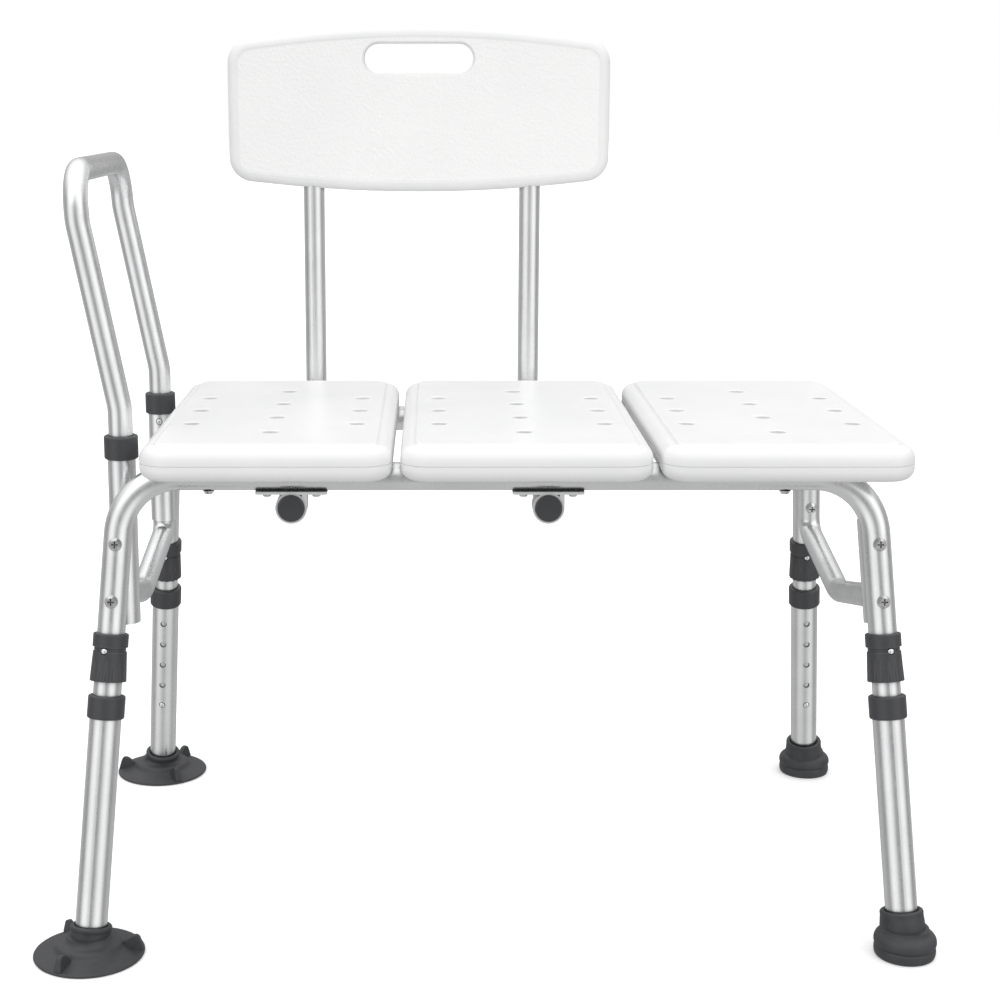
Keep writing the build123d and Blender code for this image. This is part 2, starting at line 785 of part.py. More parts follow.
# Backrest: hollow panel with a handle slot, on two bent tubes
slot_plane = facing_front(panel_x, back_tube_y, slot_z)
with BuildPart() as back_hollow:
    extrude(back_outline(2.2 * back_wall), amount=panel_thickness / 2 - back_wall, both=True)
    with BuildSketch(slot_plane):
        SlotOverall(slot_width + 2 * slot_post, slot_height + 2 * slot_post)
    extrude(amount=panel_thickness, both=True, mode=Mode.SUBTRACT)
    with BuildSketch(Plane(origin=(0, back_tube_y, panel_bottom))):
        for x in bracket_x:
            with Locations((x, 0)):
                Rectangle(slim_od + 2 * back_wall, panel_thickness)
    extrude(amount=panel_crown - panel_bottom, mode=Mode.SUBTRACT)

with BuildPart() as back_panel:
    extrude(back_outline(0), amount=panel_thickness / 2, both=True)
    rims = edges().filter_by(lambda edge: abs(edge.center().Y - back_tube_y) > panel_thickness / 2 - 0.01)
    fillet(rims, back_edge)
    with BuildSketch(slot_plane):
        SlotOverall(slot_width, slot_height)
    extrude(amount=panel_thickness, both=True, mode=Mode.SUBTRACT)
    for x in bracket_x:
        bore = Plane(origin=(x, back_tube_y, panel_bottom))
        drill(bore, slim_od / 2 + 0.1, 0, back_tube_top + 6 - panel_bottom)
        for z in back_screws_z:
            drill(facing_front(x, back_tube_y, z), back_screw_hole, -panel_thickness, panel_thickness)
    add(back_hollow.part, mode=Mode.SUBTRACT)
keep(back_panel, "backrest_panel")

for x, label in zip(bracket_x, ("left", "right")):
    run_start = (x, back_run_front, back_run_z)
    run_corner = (x, back_tube_y, back_run_z)
    run_top = (x, back_tube_y, back_tube_top)
    with BuildPart() as back_tube:
        sweep_tube([run_start, run_corner, run_top], back_bend, slim_od / 2, slim_id / 2)
        for z in back_screws_z:
            drill(facing_front(x, back_tube_y, z), back_screw_hole, -panel_thickness, panel_thickness)
    keep(back_tube, f"backrest_tube_{label}")

with BuildPart() as back_screws:
    for x in bracket_x:
        for z in back_screws_z:
            rear = Plane(origin=(x, back_tube_y + panel_thickness / 2, z), x_dir=(1, 0, 0), z_dir=(0, 1, 0))
            with BuildSketch(rear):
                Circle(back_screw_radius)
            extrude(amount=-back_screw_length)
            pan_head(rear, 0, back_screw_head_radius, back_screw_head_height)
keep(back_screws, "backrest_screws")

os.makedirs("parts", exist_ok=True)
for piece in pieces:
    export_step(piece, f"parts/{piece.label}.step")
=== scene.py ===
"""Looks of the bath transfer bench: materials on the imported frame, and the moulded parts as finer meshes."""

import json
from math import atan, cos, degrees, pi, radians, sin

import bmesh
import bpy
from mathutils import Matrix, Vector


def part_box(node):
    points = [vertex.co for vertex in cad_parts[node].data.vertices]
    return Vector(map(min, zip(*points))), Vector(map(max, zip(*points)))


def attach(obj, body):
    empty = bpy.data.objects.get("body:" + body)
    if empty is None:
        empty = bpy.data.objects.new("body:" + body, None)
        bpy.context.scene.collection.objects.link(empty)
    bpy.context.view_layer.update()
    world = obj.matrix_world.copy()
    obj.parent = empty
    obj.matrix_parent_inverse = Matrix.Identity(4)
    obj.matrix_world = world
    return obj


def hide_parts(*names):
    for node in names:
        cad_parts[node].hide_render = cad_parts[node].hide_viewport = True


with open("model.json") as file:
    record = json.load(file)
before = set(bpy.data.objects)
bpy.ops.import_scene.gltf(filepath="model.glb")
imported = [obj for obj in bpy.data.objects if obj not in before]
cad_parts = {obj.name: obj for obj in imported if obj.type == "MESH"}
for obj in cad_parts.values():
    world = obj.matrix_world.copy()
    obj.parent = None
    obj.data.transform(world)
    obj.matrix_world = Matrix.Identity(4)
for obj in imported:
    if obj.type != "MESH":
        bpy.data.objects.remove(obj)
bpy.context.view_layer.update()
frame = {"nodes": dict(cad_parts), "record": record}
MM = 0.001

# Driving dimensions of the moulded parts, in metres
# Outwards and down, from the raised panel's edge to the pad's rim
PANEL_FALL = (
    (0.0, 0.0), (0.9 * MM, 0.25 * MM), (1.9 * MM, 1.85 * MM), (2.9 * MM, 2.35 * MM), (3.9 * MM, 2.4 * MM),
)
PANEL_EDGE = 15.0 * MM
PAD_CORNER = 26.0 * MM
PAD_SHOULDER = (10.5 * MM, 12.0 * MM)
PAD_BELLY = (11.0 * MM, 11.0 * MM)
PAD_SEAM = 15.0 * MM
SEAM_DEPTH = 0.7 * MM
SADDLE_RADIUS = 13.0 * MM
SADDLE_Y = 152.0 * MM
SADDLE_DROP = 2.5 * MM
DRAIN_RADIUS = 7.4 * MM
DRAIN_COLUMN = 77.3 * MM
DRAIN_MIDDLE_ROW = 78.2 * MM
DRAIN_SIDE_ROW = 74.0 * MM
DRAIN_Y = -6.0 * MM

BACK_CORNER = 26.0 * MM
BACK_ROUND = 9.5 * MM
BACK_RIM = 12.0 * MM
BACK_FIELD_DEPTH = 0.5 * MM
BACK_CROWN_RISE = 17.0 * MM
BACK_SAG = 14.0 * MM
HANDLE_LENGTH = 116.0 * MM
HANDLE_HEIGHT = 31.5 * MM
HANDLE_BELOW_TOP = 33.5 * MM
SLOT_ROUND = 4.0 * MM
TUBE_BORE = 11.2 * MM
TUBE_TOP = 801.0 * MM

DRAIN_LIP = 1.2 * MM
FILL_MARGIN = 4.0 * MM
OVERSHOOT = 10.0 * MM
LEVEL_TOLERANCE = 0.01 * MM
SHARP_ANGLE = 35
CORNER_STEPS = 10
DRAIN_STEPS = 32
TUBE_STEPS = 48


# ---------------------------------------------------------------- mesh helpers
def finish_mesh(name, bm, materials):
    """Turn a bmesh into an object with smooth shading that breaks at sharp edges."""
    bmesh.ops.recalc_face_normals(bm, faces=bm.faces)
    mesh = bpy.data.meshes.new(name)
    bm.to_mesh(mesh)
    bm.free()
    for material in materials:
        mesh.materials.append(material)
    piece = bpy.data.objects.new(name, mesh)
    bpy.context.scene.collection.objects.link(piece)
    smooth_shade(piece)
    return piece


def smooth_shade(piece):
    """Smooth normals, weighted by face area, with edges above SHARP_ANGLE kept sharp."""
    mesh = piece.data
    mesh.polygons.foreach_set("use_smooth", [True] * len(mesh.polygons))
    mesh.set_sharp_from_angle(angle=radians(SHARP_ANGLE))
    weighted = piece.modifiers.new("weighted_normals", "WEIGHTED_NORMAL")
    weighted.keep_sharp = True


def refill_flat(piece, normal):
    """Fill the outermost flat faces in a direction anew with even triangles, so holes leave no slivers."""
    bm = bmesh.new()
    bm.from_mesh(piece.data)
    level = max(vertex.co.dot(normal) for vertex in bm.verts) - LEVEL_TOLERANCE
    flat = [face for face in bm.faces if all(vertex.co.dot(normal) > level for vertex in face.verts)]
    chosen = set(flat)
    touching = [edge for edge in bm.edges if any(face in chosen for face in edge.link_faces)]
    outline = [edge for edge in touching if any(face not in chosen for face in edge.link_faces)]
    inner = [edge for edge in touching if all(face in chosen for face in edge.link_faces)]
    bmesh.ops.delete(bm, geom=flat, context="FACES_ONLY")
    bmesh.ops.delete(bm, geom=inner, context="EDGES")
    filled = bmesh.ops.triangle_fill(bm, edges=outline, use_beauty=True, normal=normal)
    for element in filled["geom"]:
        if isinstance(element, bmesh.types.BMFace):
            element.smooth = False
    bm.to_mesh(piece.data)
    bm.free()


def skin(bm, loops):
    """Join loops of equally many points with quads, and fill the first and last loops."""
    rings = [[bm.verts.new(point) for point in loop] for loop in loops]
    faces = []
    for lower, upper in zip(rings, rings[1:]):
        count = len(lower)
        for k in range(count):
            faces.append(bm.faces.new((lower[k], lower[(k + 1) % count], upper[(k + 1) % count], upper[k])))
    faces.append(bm.faces.new(rings[0][::-1]))
    faces.append(bm.faces.new(rings[-1]))
    return faces


def arc(centre, radii, start, end, steps):
    """Points of an elliptic arc, as pairs."""
    points = []
    for k in range(steps + 1):
        angle = radians(start + (end - start) * k / steps)
        points.append((centre[0] + radii[0] * cos(angle), centre[1] + radii[1] * sin(angle)))
    return points


def rounded_rectangle(half_x, half_y, radius, steps=CORNER_STEPS):
    """Outline of a rounded rectangle about the origin, counter-clockwise."""
    outline = []
    for quarter, (sign_x, sign_y) in enumerate(((1, 1), (-1, 1), (-1, -1), (1, -1))):
        centre = (sign_x * (half_x - radius), sign_y * (half_y - radius))
        outline += arc(centre, (radius, radius), 90 * quarter, 90 * quarter + 90, steps)
    return outline


def draw_in(outline, inset):
    """Move a counter-clockwise outline inwards, square to itself."""
    count = len(outline)
    moved = []
    for k, (x, y) in enumerate(outline):
        before, after = outline[k - 1], outline[(k + 1) % count]
        along = Vector((after[0] - before[0], after[1] - before[1])).normalized()
        moved.append((x - along.y * inset, y + along.x * inset))
    return moved


def revolve(bm, profile, axis_start, axis, steps=96):
    """Revolve (radius, distance along the axis) pairs about an axis; flat ends close it."""
    turn = Vector((0, 0, 1)).rotation_difference(axis).to_matrix()
    loops = []
    for radius, along in profile:
        loop = []
        for k in range(steps):
            angle = 2 * pi * k / steps
            loop.append(axis_start + turn @ Vector((radius * cos(angle), radius * sin(angle), along)))
        loops.append(loop)
    return skin(bm, loops)


def combine(piece, other, operation):
    """Boolean another bmesh with a piece and keep the result as the piece's own mesh; other is freed."""
    bmesh.ops.recalc_face_normals(other, faces=other.faces)
    mesh = bpy.data.meshes.new("other")
    other.to_mesh(mesh)
    other.free()
    tool = bpy.data.objects.new("other", mesh)
    bpy.context.scene.collection.objects.link(tool)
    piece.modifiers.clear()
    boolean = piece.modifiers.new("combine", "BOOLEAN")
    boolean.operation = operation
    boolean.solver = "EXACT"
    boolean.object = tool
    graph = bpy.context.evaluated_depsgraph_get()
    piece.data = bpy.data.meshes.new_from_object(piece.evaluated_get(graph))
    piece.modifiers.clear()
    bpy.data.objects.remove(tool)
    smooth_shade(piece)


# ---------------------------------------------------------------- materials
# Painted light: the pebbled tones are set lighter than the smooth ones, so the pebbled backrest looks more
# brightly lit than the smooth pads.
SMOOTH_TONES = (0.835, 0.838, 0.84), (0.875, 0.875, 0.872)
PEBBLED_TONES = (0.90, 0.90, 0.898), (0.925, 0.925, 0.92)


class Shader:
    """A principled material with a few node shortcuts."""

    def __init__(self, name, colour, roughness, metallic=0.0):
        self.material = bpy.data.materials.new(name)
        self.material.use_nodes = True
        self.nodes = self.material.node_tree.nodes
        self.links = self.material.node_tree.links
        self.bsdf = self.nodes["Principled BSDF"]
        self.bsdf.inputs["Base Color"].default_value = (*colour, 1)
        self.bsdf.inputs["Roughness"].default_value = roughness
        self.bsdf.inputs["Metallic"].default_value = metallic
        self.place = self.nodes.new("ShaderNodeTexCoord").outputs["Object"]

    def stretched(self, scale):
        """Object coordinates scaled by a different factor along each axis."""
        mapping = self.nodes.new("ShaderNodeMapping")
        mapping.inputs["Scale"].default_value = scale
        self.links.new(self.place, mapping.inputs["Vector"])
        return mapping.outputs["Vector"]

    def noise(self, scale, detail=3.0, vector=None, roughness=0.55):
        """Noise value at a scale in repeats per metre."""
        noise = self.nodes.new("ShaderNodeTexNoise")
        noise.inputs["Scale"].default_value = scale
        noise.inputs["Detail"].default_value = detail
        noise.inputs["Roughness"].default_value = roughness
        self.links.new(vector or self.place, noise.inputs["Vector"])
        return noise.outputs["Fac"]

    def cells(self, scale):
        """Distance to the nearest cell point, for pebbled surfaces."""
        cells = self.nodes.new("ShaderNodeTexVoronoi")
        cells.feature = "SMOOTH_F1"
        cells.inputs["Scale"].default_value = scale
        cells.inputs["Smoothness"].default_value = 0.6
        self.links.new(self.place, cells.inputs["Vector"])
        return cells.outputs["Distance"]

    def edges(self, radius):
        """0 on flat faces, rising to 1 where an edge is near."""
        bevel = self.nodes.new("ShaderNodeBevel")
        bevel.inputs["Radius"].default_value = radius
        geometry = self.nodes.new("ShaderNodeNewGeometry")
        dot = self.nodes.new("ShaderNodeVectorMath")
        dot.operation = "DOT_PRODUCT"
        self.links.new(bevel.outputs["Normal"], dot.inputs[0])
        self.links.new(geometry.outputs["True Normal"], dot.inputs[1])
        return self.spread(dot.outputs["Value"], 0.9, 1.0, 1.0, 0.0)

    def spread(self, value, low, high, to_low, to_high):
        """Map a value from one range to another, clamped."""
        spread = self.nodes.new("ShaderNodeMapRange")
        spread.inputs["From Min"].default_value = low
        spread.inputs["From Max"].default_value = high
        spread.inputs["To Min"].default_value = to_low
        spread.inputs["To Max"].default_value = to_high
        self.links.new(value, spread.inputs["Value"])
        return spread.outputs["Result"]

    def tint(self, value, dark, light):
        """Colour between two tones, by a value from 0 to 1."""
        mix = self.nodes.new("ShaderNodeMix")
        mix.data_type = "RGBA"
        mix.inputs["A"].default_value = (*dark, 1)
        mix.inputs["B"].default_value = (*light, 1)
        self.links.new(value, mix.inputs["Factor"])
        self.links.new(mix.outputs["Result"], self.bsdf.inputs["Base Color"])

    def paint_shade(self, distance, darkest):
        """Painted shade: darken the base colour in recesses and where other surfaces are near, by ambient
        occlusion.
        """
        occlusion = self.nodes.new("ShaderNodeAmbientOcclusion")
        occlusion.samples = 8
        occlusion.inputs["Distance"].default_value = distance
        mix = self.nodes.new("ShaderNodeMix")
        mix.data_type = "RGBA"
        mix.blend_type = "MULTIPLY"
        mix.inputs["Factor"].default_value = 1.0
        base = self.bsdf.inputs["Base Color"]
        self.links.new(base.links[0].from_socket, mix.inputs["A"])
        self.links.new(self.spread(occlusion.outputs["AO"], 0.35, 0.9, darkest, 1.0), mix.inputs["B"])
        self.links.new(mix.outputs["Result"], base)

    def rough(self, value):
        """Drive the roughness."""
        self.links.new(value, self.bsdf.inputs["Roughness"])

    def bump(self, value, strength, distance, under=None):
        """Bump the surface by a value; under is the bump that this one adds to."""
        bump = self.nodes.new("ShaderNodeBump")
        bump.inputs["Strength"].default_value = strength
        bump.inputs["Distance"].default_value = distance
        self.links.new(value, bump.inputs["Height"])
        if under is not None:
            self.links.new(under, bump.inputs["Normal"])
        self.links.new(bump.outputs["Normal"], self.bsdf.inputs["Normal"])
        return bump.outputs["Normal"]


def aluminium(name, grain):
    """Satin anodised tube: fine drawing lines along grain, faint clouding, and painted shade where other
    surfaces are near.
    """
    shader = Shader(name, (0.8, 0.81, 0.82), 0.3, 1.0)
    lines = shader.noise(1.0, 4.0, shader.stretched(grain))
    clouds = shader.noise(24.0, 3.0)
    shader.tint(shader.spread(clouds, 0.3, 0.7, 0.0, 1.0), (0.74, 0.745, 0.75), (0.81, 0.815, 0.82))
    # Painted shade: the tube's colour darkens where other surfaces come within 6 mm.
    shader.paint_shade(0.006, 0.3)
    shader.rough(shader.spread(lines, 0.3, 0.7, 0.24, 0.34))
    shader.bump(lines, 0.2, 0.00003)
    return shader.material


def white_plastic(name, pebble):
    """White moulded polyethylene; pebble raises a leather-like grain."""
    shader = Shader(name, (0.86, 0.86, 0.855), 0.35)
    dark, light = PEBBLED_TONES if pebble else SMOOTH_TONES
    shader.tint(shader.spread(shader.noise(9.0, 3.0), 0.3, 0.7, 0.0, 1.0), dark, light)
    shader.bsdf.inputs["Subsurface Weight"].default_value = 0.08
    shader.bsdf.inputs["Subsurface Radius"].default_value = (0.004, 0.004, 0.0035)
    shader.bsdf.inputs["Specular IOR Level"].default_value = 0.45
    if pebble:
        fine = shader.noise(900.0, 2.0)
        shader.rough(shader.spread(fine, 0.3, 0.7, 0.42, 0.55))
        under = shader.bump(fine, 0.2, 0.00012)
        shader.bump(shader.cells(330.0), 0.75, 0.0007, under)
    else:
        # Painted shade: the smooth white darkens in recesses and where other surfaces come within 12 mm.
        shader.paint_shade(0.012, 0.8)
        shader.rough(shader.spread(shader.noise(60.0, 4.0), 0.3, 0.7, 0.3, 0.36))
    return shader.material


def dark_plastic():
    """Charcoal injection-moulded collars and bushings, with a fine spark-eroded skin."""
    shader = Shader("charcoal_plastic", (0.045, 0.046, 0.05), 0.42)
    # Painted highlight: a lighter tone near edges, as if they catch the light.
    edge_highlight = shader.edges(0.0012)
    shader.tint(edge_highlight, (0.046, 0.047, 0.051), (0.10, 0.102, 0.108))
    grain = shader.noise(1400.0, 2.0)
    shader.rough(shader.spread(grain, 0.3, 0.7, 0.36, 0.5))
    shader.bump(grain, 0.3, 0.0001)
    return shader.material


def foot_rubber():
    """Dark rubber of the feet: matt, slightly blotchy."""
    shader = Shader("foot_rubber", (0.036, 0.037, 0.04), 0.55)
    blotches = shader.noise(70.0, 4.0)
    shader.tint(shader.spread(blotches, 0.3, 0.7, 0.0, 1.0), (0.030, 0.031, 0.034), (0.048, 0.049, 0.053))
    shader.rough(shader.spread(blotches, 0.3, 0.7, 0.46, 0.62))
    shader.bump(shader.noise(1100.0, 3.0), 0.35, 0.00015)
    return shader.material


def bright_metal(name, colour, low, high, metallic=1.0, recess=0.12, flat=False):
    """Small metal parts with faint scratches; low and high bound the roughness.

    recess is the darkest tone of the painted shade where surfaces meet, and flat shades each face by its own
    plane.
    """
    shader = Shader(name, colour, low, metallic)
    scratches = shader.noise(1.0, 5.0, shader.stretched((900, 900, 220)))
    shader.rough(shader.spread(scratches, 0.3, 0.7, low, high))
    # Painted highlight: the colour turns 12% lighter near edges, as if they catch the light.
    shader.tint(shader.edges(0.0006), colour, tuple(min(1.0, c * 1.12) for c in colour))
    # Painted shade: darker where surfaces meet, down to the recess tone.
    shader.paint_shade(0.004, recess)
    plane = shader.nodes.new("ShaderNodeNewGeometry").outputs["True Normal"] if flat else None
    shader.bump(scratches, 0.2, 0.00003, plane)
    return shader.material


upright_tube = aluminium("aluminium_upright", (900, 900, 14))
frame_tube = aluminium("aluminium_bent", (260, 260, 60))
bracket_metal = bright_metal(
    "bracket_aluminium", (0.74, 0.745, 0.75), 0.45, 0.6, metallic=0.25, recess=0.7, flat=True
)
screw_chrome = bright_metal("screw_chrome", (0.66, 0.66, 0.67), 0.1, 0.2)
button_metal = bright_metal("button_nickel", (0.72, 0.73, 0.74), 0.18, 0.3)
smooth_white = white_plastic("white_smooth", pebble=False)
pebbled_white = white_plastic("white_pebbled", pebble=True)
charcoal = dark_plastic()
rubber = foot_rubber()

SLOT_MATERIALS = {
    "bright_aluminium": upright_tube,
    "bracket_metal": bracket_metal,
    "bright_screws": screw_chrome,
    "button_steel": button_metal,
    "dark_plastic": charcoal,
    "foot_rubber": rubber,
    "seat_plastic": smooth_white,
    "backrest_plastic": pebbled_white,
}
BENT_TUBES = ("front_frame", "rear_frame", "side_brace_left", "side_brace_right")
for entry in frame["record"]["subparts"]:
    node = frame["nodes"][entry["node"]]
    material = frame_tube if entry["node"] in BENT_TUBES else SLOT_MATERIALS[entry["material_slot"]]
    for socket in node.material_slots:
        socket.material = material


# ---------------------------------------------------------------- seat pads
def pad_section(low, high):
    """Inset and height of a pad's skin, from the raised panel outwards and down to the underside."""
    seam = low + PAD_SEAM
    section = [(PANEL_EDGE + FILL_MARGIN, high)]
    section += [(PANEL_EDGE - outwards, high - down) for outwards, down in PANEL_FALL]
    shoulder = (PAD_SHOULDER[0], section[-1][1] - PAD_SHOULDER[1])
    section += arc(shoulder, PAD_SHOULDER, 90, 180, CORNER_STEPS)
    section += [(0.0, seam + 0.8 * MM), (SEAM_DEPTH, seam + 0.3 * MM)]
    section += [(SEAM_DEPTH, seam - 0.3 * MM), (0.0, seam - 0.8 * MM)]
    section += arc((PAD_BELLY[0], low + PAD_BELLY[1]), PAD_BELLY, 180, 270, CORNER_STEPS)
    section.append((PAD_BELLY[0] + FILL_MARGIN, low))
    return section


def seat_pad(name):
    """One moulded seat pad with drain holes and saddles for the rails."""
    low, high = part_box(name)
    centre = (low + high) / 2
    half_x, half_y = (high.x - low.x) / 2, (high.y - low.y) / 2
    loops = []
    for inset, height in pad_section(low.z, high.z):
        outline = rounded_rectangle(half_x - inset, half_y - inset, max(PAD_CORNER - inset, 6 * MM))
        loops.append([Vector((centre.x + x, centre.y + y, height)) for x, y in outline])
    bm = bmesh.new()
    skin(bm, loops)
    piece = finish_mesh(f"{name}_skin", bm, [smooth_white])

    cutters = bmesh.new()
    drains = [(centre.x, centre.y + DRAIN_Y + DRAIN_MIDDLE_ROW * row) for row in (-1.5, -0.5, 0.5, 1.5)]
    for column in (-DRAIN_COLUMN, DRAIN_COLUMN):
        drains += [(centre.x + column, centre.y + DRAIN_Y + DRAIN_SIDE_ROW * row) for row in (-1, 0, 1)]
    depth = high.z - low.z
    mouth = DRAIN_RADIUS + DRAIN_LIP
    drain = [(DRAIN_RADIUS + 2 * MM, depth + DRAIN_LIP), (mouth, depth)]
    drain += arc((mouth, depth - DRAIN_LIP), (DRAIN_LIP, DRAIN_LIP), 115, 180, 5)
    drain.append((DRAIN_RADIUS, -1 * MM))
    for x, y in drains:
        revolve(cutters, drain, Vector((x, y, low.z)), Vector((0, 0, 1)), DRAIN_STEPS)
    for side in (-1, 1):
        start = Vector((low.x - OVERSHOOT, side * SADDLE_Y, low.z - SADDLE_DROP))
        saddle = [(SADDLE_RADIUS, 0), (SADDLE_RADIUS, high.x - low.x + 2 * OVERSHOOT)]
        revolve(cutters, saddle, start, Vector((1, 0, 0)), TUBE_STEPS)
    combine(piece, cutters, "DIFFERENCE")
    for direction in (1, -1):
        refill_flat(piece, Vector((0, 0, direction)))
    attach(piece, "base")
    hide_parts(name)


for label in ("left", "middle", "right"):
    seat_pad(f"seat_pad_{label}")


# ---------------------------------------------------------------- backrest panel
def bowed_side(half, level, rise, sign, steps=20):
    """Points of a bowed edge from +half to -half; rise is its height in the middle."""
    points = []
    for k in range(1, steps):
        x = half * (1 - 2 * k / steps)
        points.append((sign * x, level + rise * (1 - (x / half) ** 2)))
    return points


def back_outline(low, high):
    """Counter-clockwise outline of the backrest, about its own middle in X, as (x, z)."""
    half = (high.x - low.x) / 2
    top, bottom = high.z - BACK_CROWN_RISE, low.z + BACK_SAG
    corner = BACK_CORNER
    reach = half - corner
    slope_top = 2 * BACK_CROWN_RISE / half * (reach / half)
    slope_bottom = 2 * BACK_SAG / half * (reach / half)
    tilt_top, tilt_bottom = degrees(atan(slope_top)), degrees(atan(slope_bottom))
    edge_top = top + BACK_CROWN_RISE * (1 - (reach / half) ** 2)
    edge_bottom = bottom - BACK_SAG * (1 - (reach / half) ** 2)
    outline = []
    outline += arc((reach, edge_top - corner), (corner, corner), 0, 90 - tilt_top, CORNER_STEPS)
    outline += bowed_side(reach, edge_top, high.z - edge_top, 1)
    outline += arc((-reach, edge_top - corner), (corner, corner), 90 + tilt_top, 180, CORNER_STEPS)
    outline += arc((-reach, edge_bottom + corner), (corner, corner), 180, 270 - tilt_bottom, CORNER_STEPS)
    outline += bowed_side(reach, edge_bottom, low.z - edge_bottom, -1)
    outline += arc((reach, edge_bottom + corner), (corner, corner), 270 + tilt_bottom, 360, CORNER_STEPS)
    return outline


def backrest(name):
    """Moulded backrest: pebbled front and back inside a smooth rim, with a handle slot."""
    low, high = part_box(name)
    centre = (low + high) / 2
    half_depth = (high.y - low.y) / 2
    outline = back_outline(low, high)
    face = half_depth - BACK_FIELD_DEPTH
    section = [(BACK_RIM + 3 * MM, -face), (BACK_RIM, -face)]
    section += [(BACK_RIM - 1.0 * MM, -face - BACK_FIELD_DEPTH * 0.6), (BACK_RIM - 2.2 * MM, -half_depth)]
    section += arc((BACK_ROUND, BACK_ROUND - half_depth), (BACK_ROUND, BACK_ROUND), 270, 180, 9)
    section += [(inset, -along) for inset, along in section[::-1]]
    bm = bmesh.new()
    loops = []
    for inset, along in section:
        loops.append([Vector((centre.x + x, centre.y + along, z)) for x, z in draw_in(outline, inset)])
    faces = skin(bm, loops)
    field = len(outline)
    pebbled = faces[:field] + faces[-2 - field:-2] + faces[-2:]
    for each in pebbled:
        each.material_index = 1
    piece = finish_mesh(f"{name}_skin", bm, [smooth_white, pebbled_white])

    cutters = bmesh.new()
    handle_z = high.z - HANDLE_BELOW_TOP
    flare = [(SLOT_ROUND + 1.0 * MM, -half_depth - 1.5 * MM), (SLOT_ROUND, -half_depth)]
    flare += arc((SLOT_ROUND, SLOT_ROUND - half_depth), (SLOT_ROUND, SLOT_ROUND), 250, 180, 7)
    flare += [(grow, -along) for grow, along in flare[::-1]]
    loops = []
    for grow, along in flare:
        slot = rounded_rectangle(
            HANDLE_LENGTH / 2 + grow, HANDLE_HEIGHT / 2 + grow, HANDLE_HEIGHT / 2 + grow - 0.2 * MM, 12
        )
        loops.append([Vector((centre.x + x, centre.y + along, handle_z + z)) for x, z in slot])
    skin(cutters, loops)
    for tube in ("backrest_tube_left", "backrest_tube_right"):
        tube_low, tube_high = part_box(tube)
        start = Vector(((tube_low.x + tube_high.x) / 2, centre.y, low.z - 2 * OVERSHOOT))
        bore = [(TUBE_BORE, 0), (TUBE_BORE, TUBE_TOP - start.z)]
        revolve(cutters, bore, start, Vector((0, 0, 1)), TUBE_STEPS)
    combine(piece, cutters, "DIFFERENCE")
    for direction in (1, -1):
        refill_flat(piece, Vector((0, direction, 0)))
    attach(piece, "backrest")
    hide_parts(name)


backrest("backrest_panel")


# ---------------------------------------------------------------- feet
# Feet in millimetres: (radius, height) of what is revolved, (reach, height) of a release tab
CUP_PROFILE = (
    (38.5, 1.6), (43.5, 0.0), (48.4, 0.0), (49.6, 0.7), (50.0, 1.7), (49.7, 2.7), (48.6, 3.4),
    (46.0, 4.1), (42.0, 5.2), (38.0, 6.2), (34.5, 7.2), (32.3, 8.2), (31.0, 9.6), (30.0, 11.3),
    (28.6, 12.7), (26.8, 13.5), (24.6, 13.9), (22.8, 14.5), (21.3, 15.6), (20.2, 17.2), (19.6, 19.0),
)
CUP_SOCKET = (
    (17.0, 9.0), (18.2, 12.0), (18.2, 20.0), (18.4, 22.0), (18.9, 23.6), (19.0, 25.0),
    (18.6, 26.2), (17.7, 26.9), (16.4, 27.0), (15.3, 26.6), (14.6, 25.7), (13.4, 24.6),
)
TAB_OUTLINE = (
    (31.0, 4.0), (47.0, 3.0), (49.0, 3.4), (48.7, 5.5), (47.6, 9.0), (46.6, 12.6), (45.4, 15.4),
    (43.6, 16.8), (41.2, 17.0), (38.6, 16.2), (35.8, 14.0), (33.2, 11.4), (31.2, 9.0),
)
TIP_PROFILE = (
    (21.5, 2.0), (22.0, 0.5), (22.8, 0.0), (25.3, 0.0), (26.4, 0.5), (27.1, 1.8), (27.5, 4.0), (27.6, 6.6),
    (27.3, 8.4), (26.6, 9.4), (26.3, 10.0), (26.7, 10.6), (27.5, 11.4), (27.9, 12.8), (28.0, 14.4),
    (27.7, 16.4), (26.9, 18.4), (25.5, 20.2), (23.8, 21.4), (22.3, 22.5), (21.3, 24.2), (20.7, 26.4),
)
TIP_SOCKET = (
    (19.0, 18.0), (20.5, 22.0), (20.1, 29.0), (19.4, 35.5), (19.3, 37.2), (19.5, 38.6),
    (19.2, 39.9), (18.3, 40.8), (16.8, 41.0), (15.4, 40.5), (14.6, 39.4), (13.4, 38.0),
)
TUBE_RADIUS = 14.35
TUBE_START = 13.9
BORE_END = 60.0
CORE_RADIUS = 0.5
CUP_UNDERSIDE = 6.5
TIP_UNDERSIDE = 2.0
TAB_HALF = 3.4
TAB_FOOT = 1.25
TAB_TAPER = 0.03
# Share of a tab's half thickness, and inset of its outline, for each layer through it
TAB_LAYERS = ((-1.0, 0.9), (-0.9, 0.25), (-0.7, 0.0), (0.7, 0.0), (0.9, 0.25), (1.0, 0.9))
BORE_STEPS = 88
TAB_ANGLES = {"front_left": 5.0, "rear_left": 60.0}


def leg_axis(corner):
    """Foot of a leg's axis on the floor, and the axis's direction upwards."""
    foot_low, foot_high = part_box(f"{FEET[corner]}_{corner}")
    collar_low, collar_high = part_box(f"upper_collar_{corner}")
    ground = Vector(((foot_low.x + foot_high.x) / 2, (foot_low.y + foot_high.y) / 2, 0))
    return ground, ((collar_low + collar_high) / 2 - ground).normalized()


def in_metres(profile):
    """Profile given in millimetres, in metres."""
    return [(radius * MM, height * MM) for radius, height in profile]


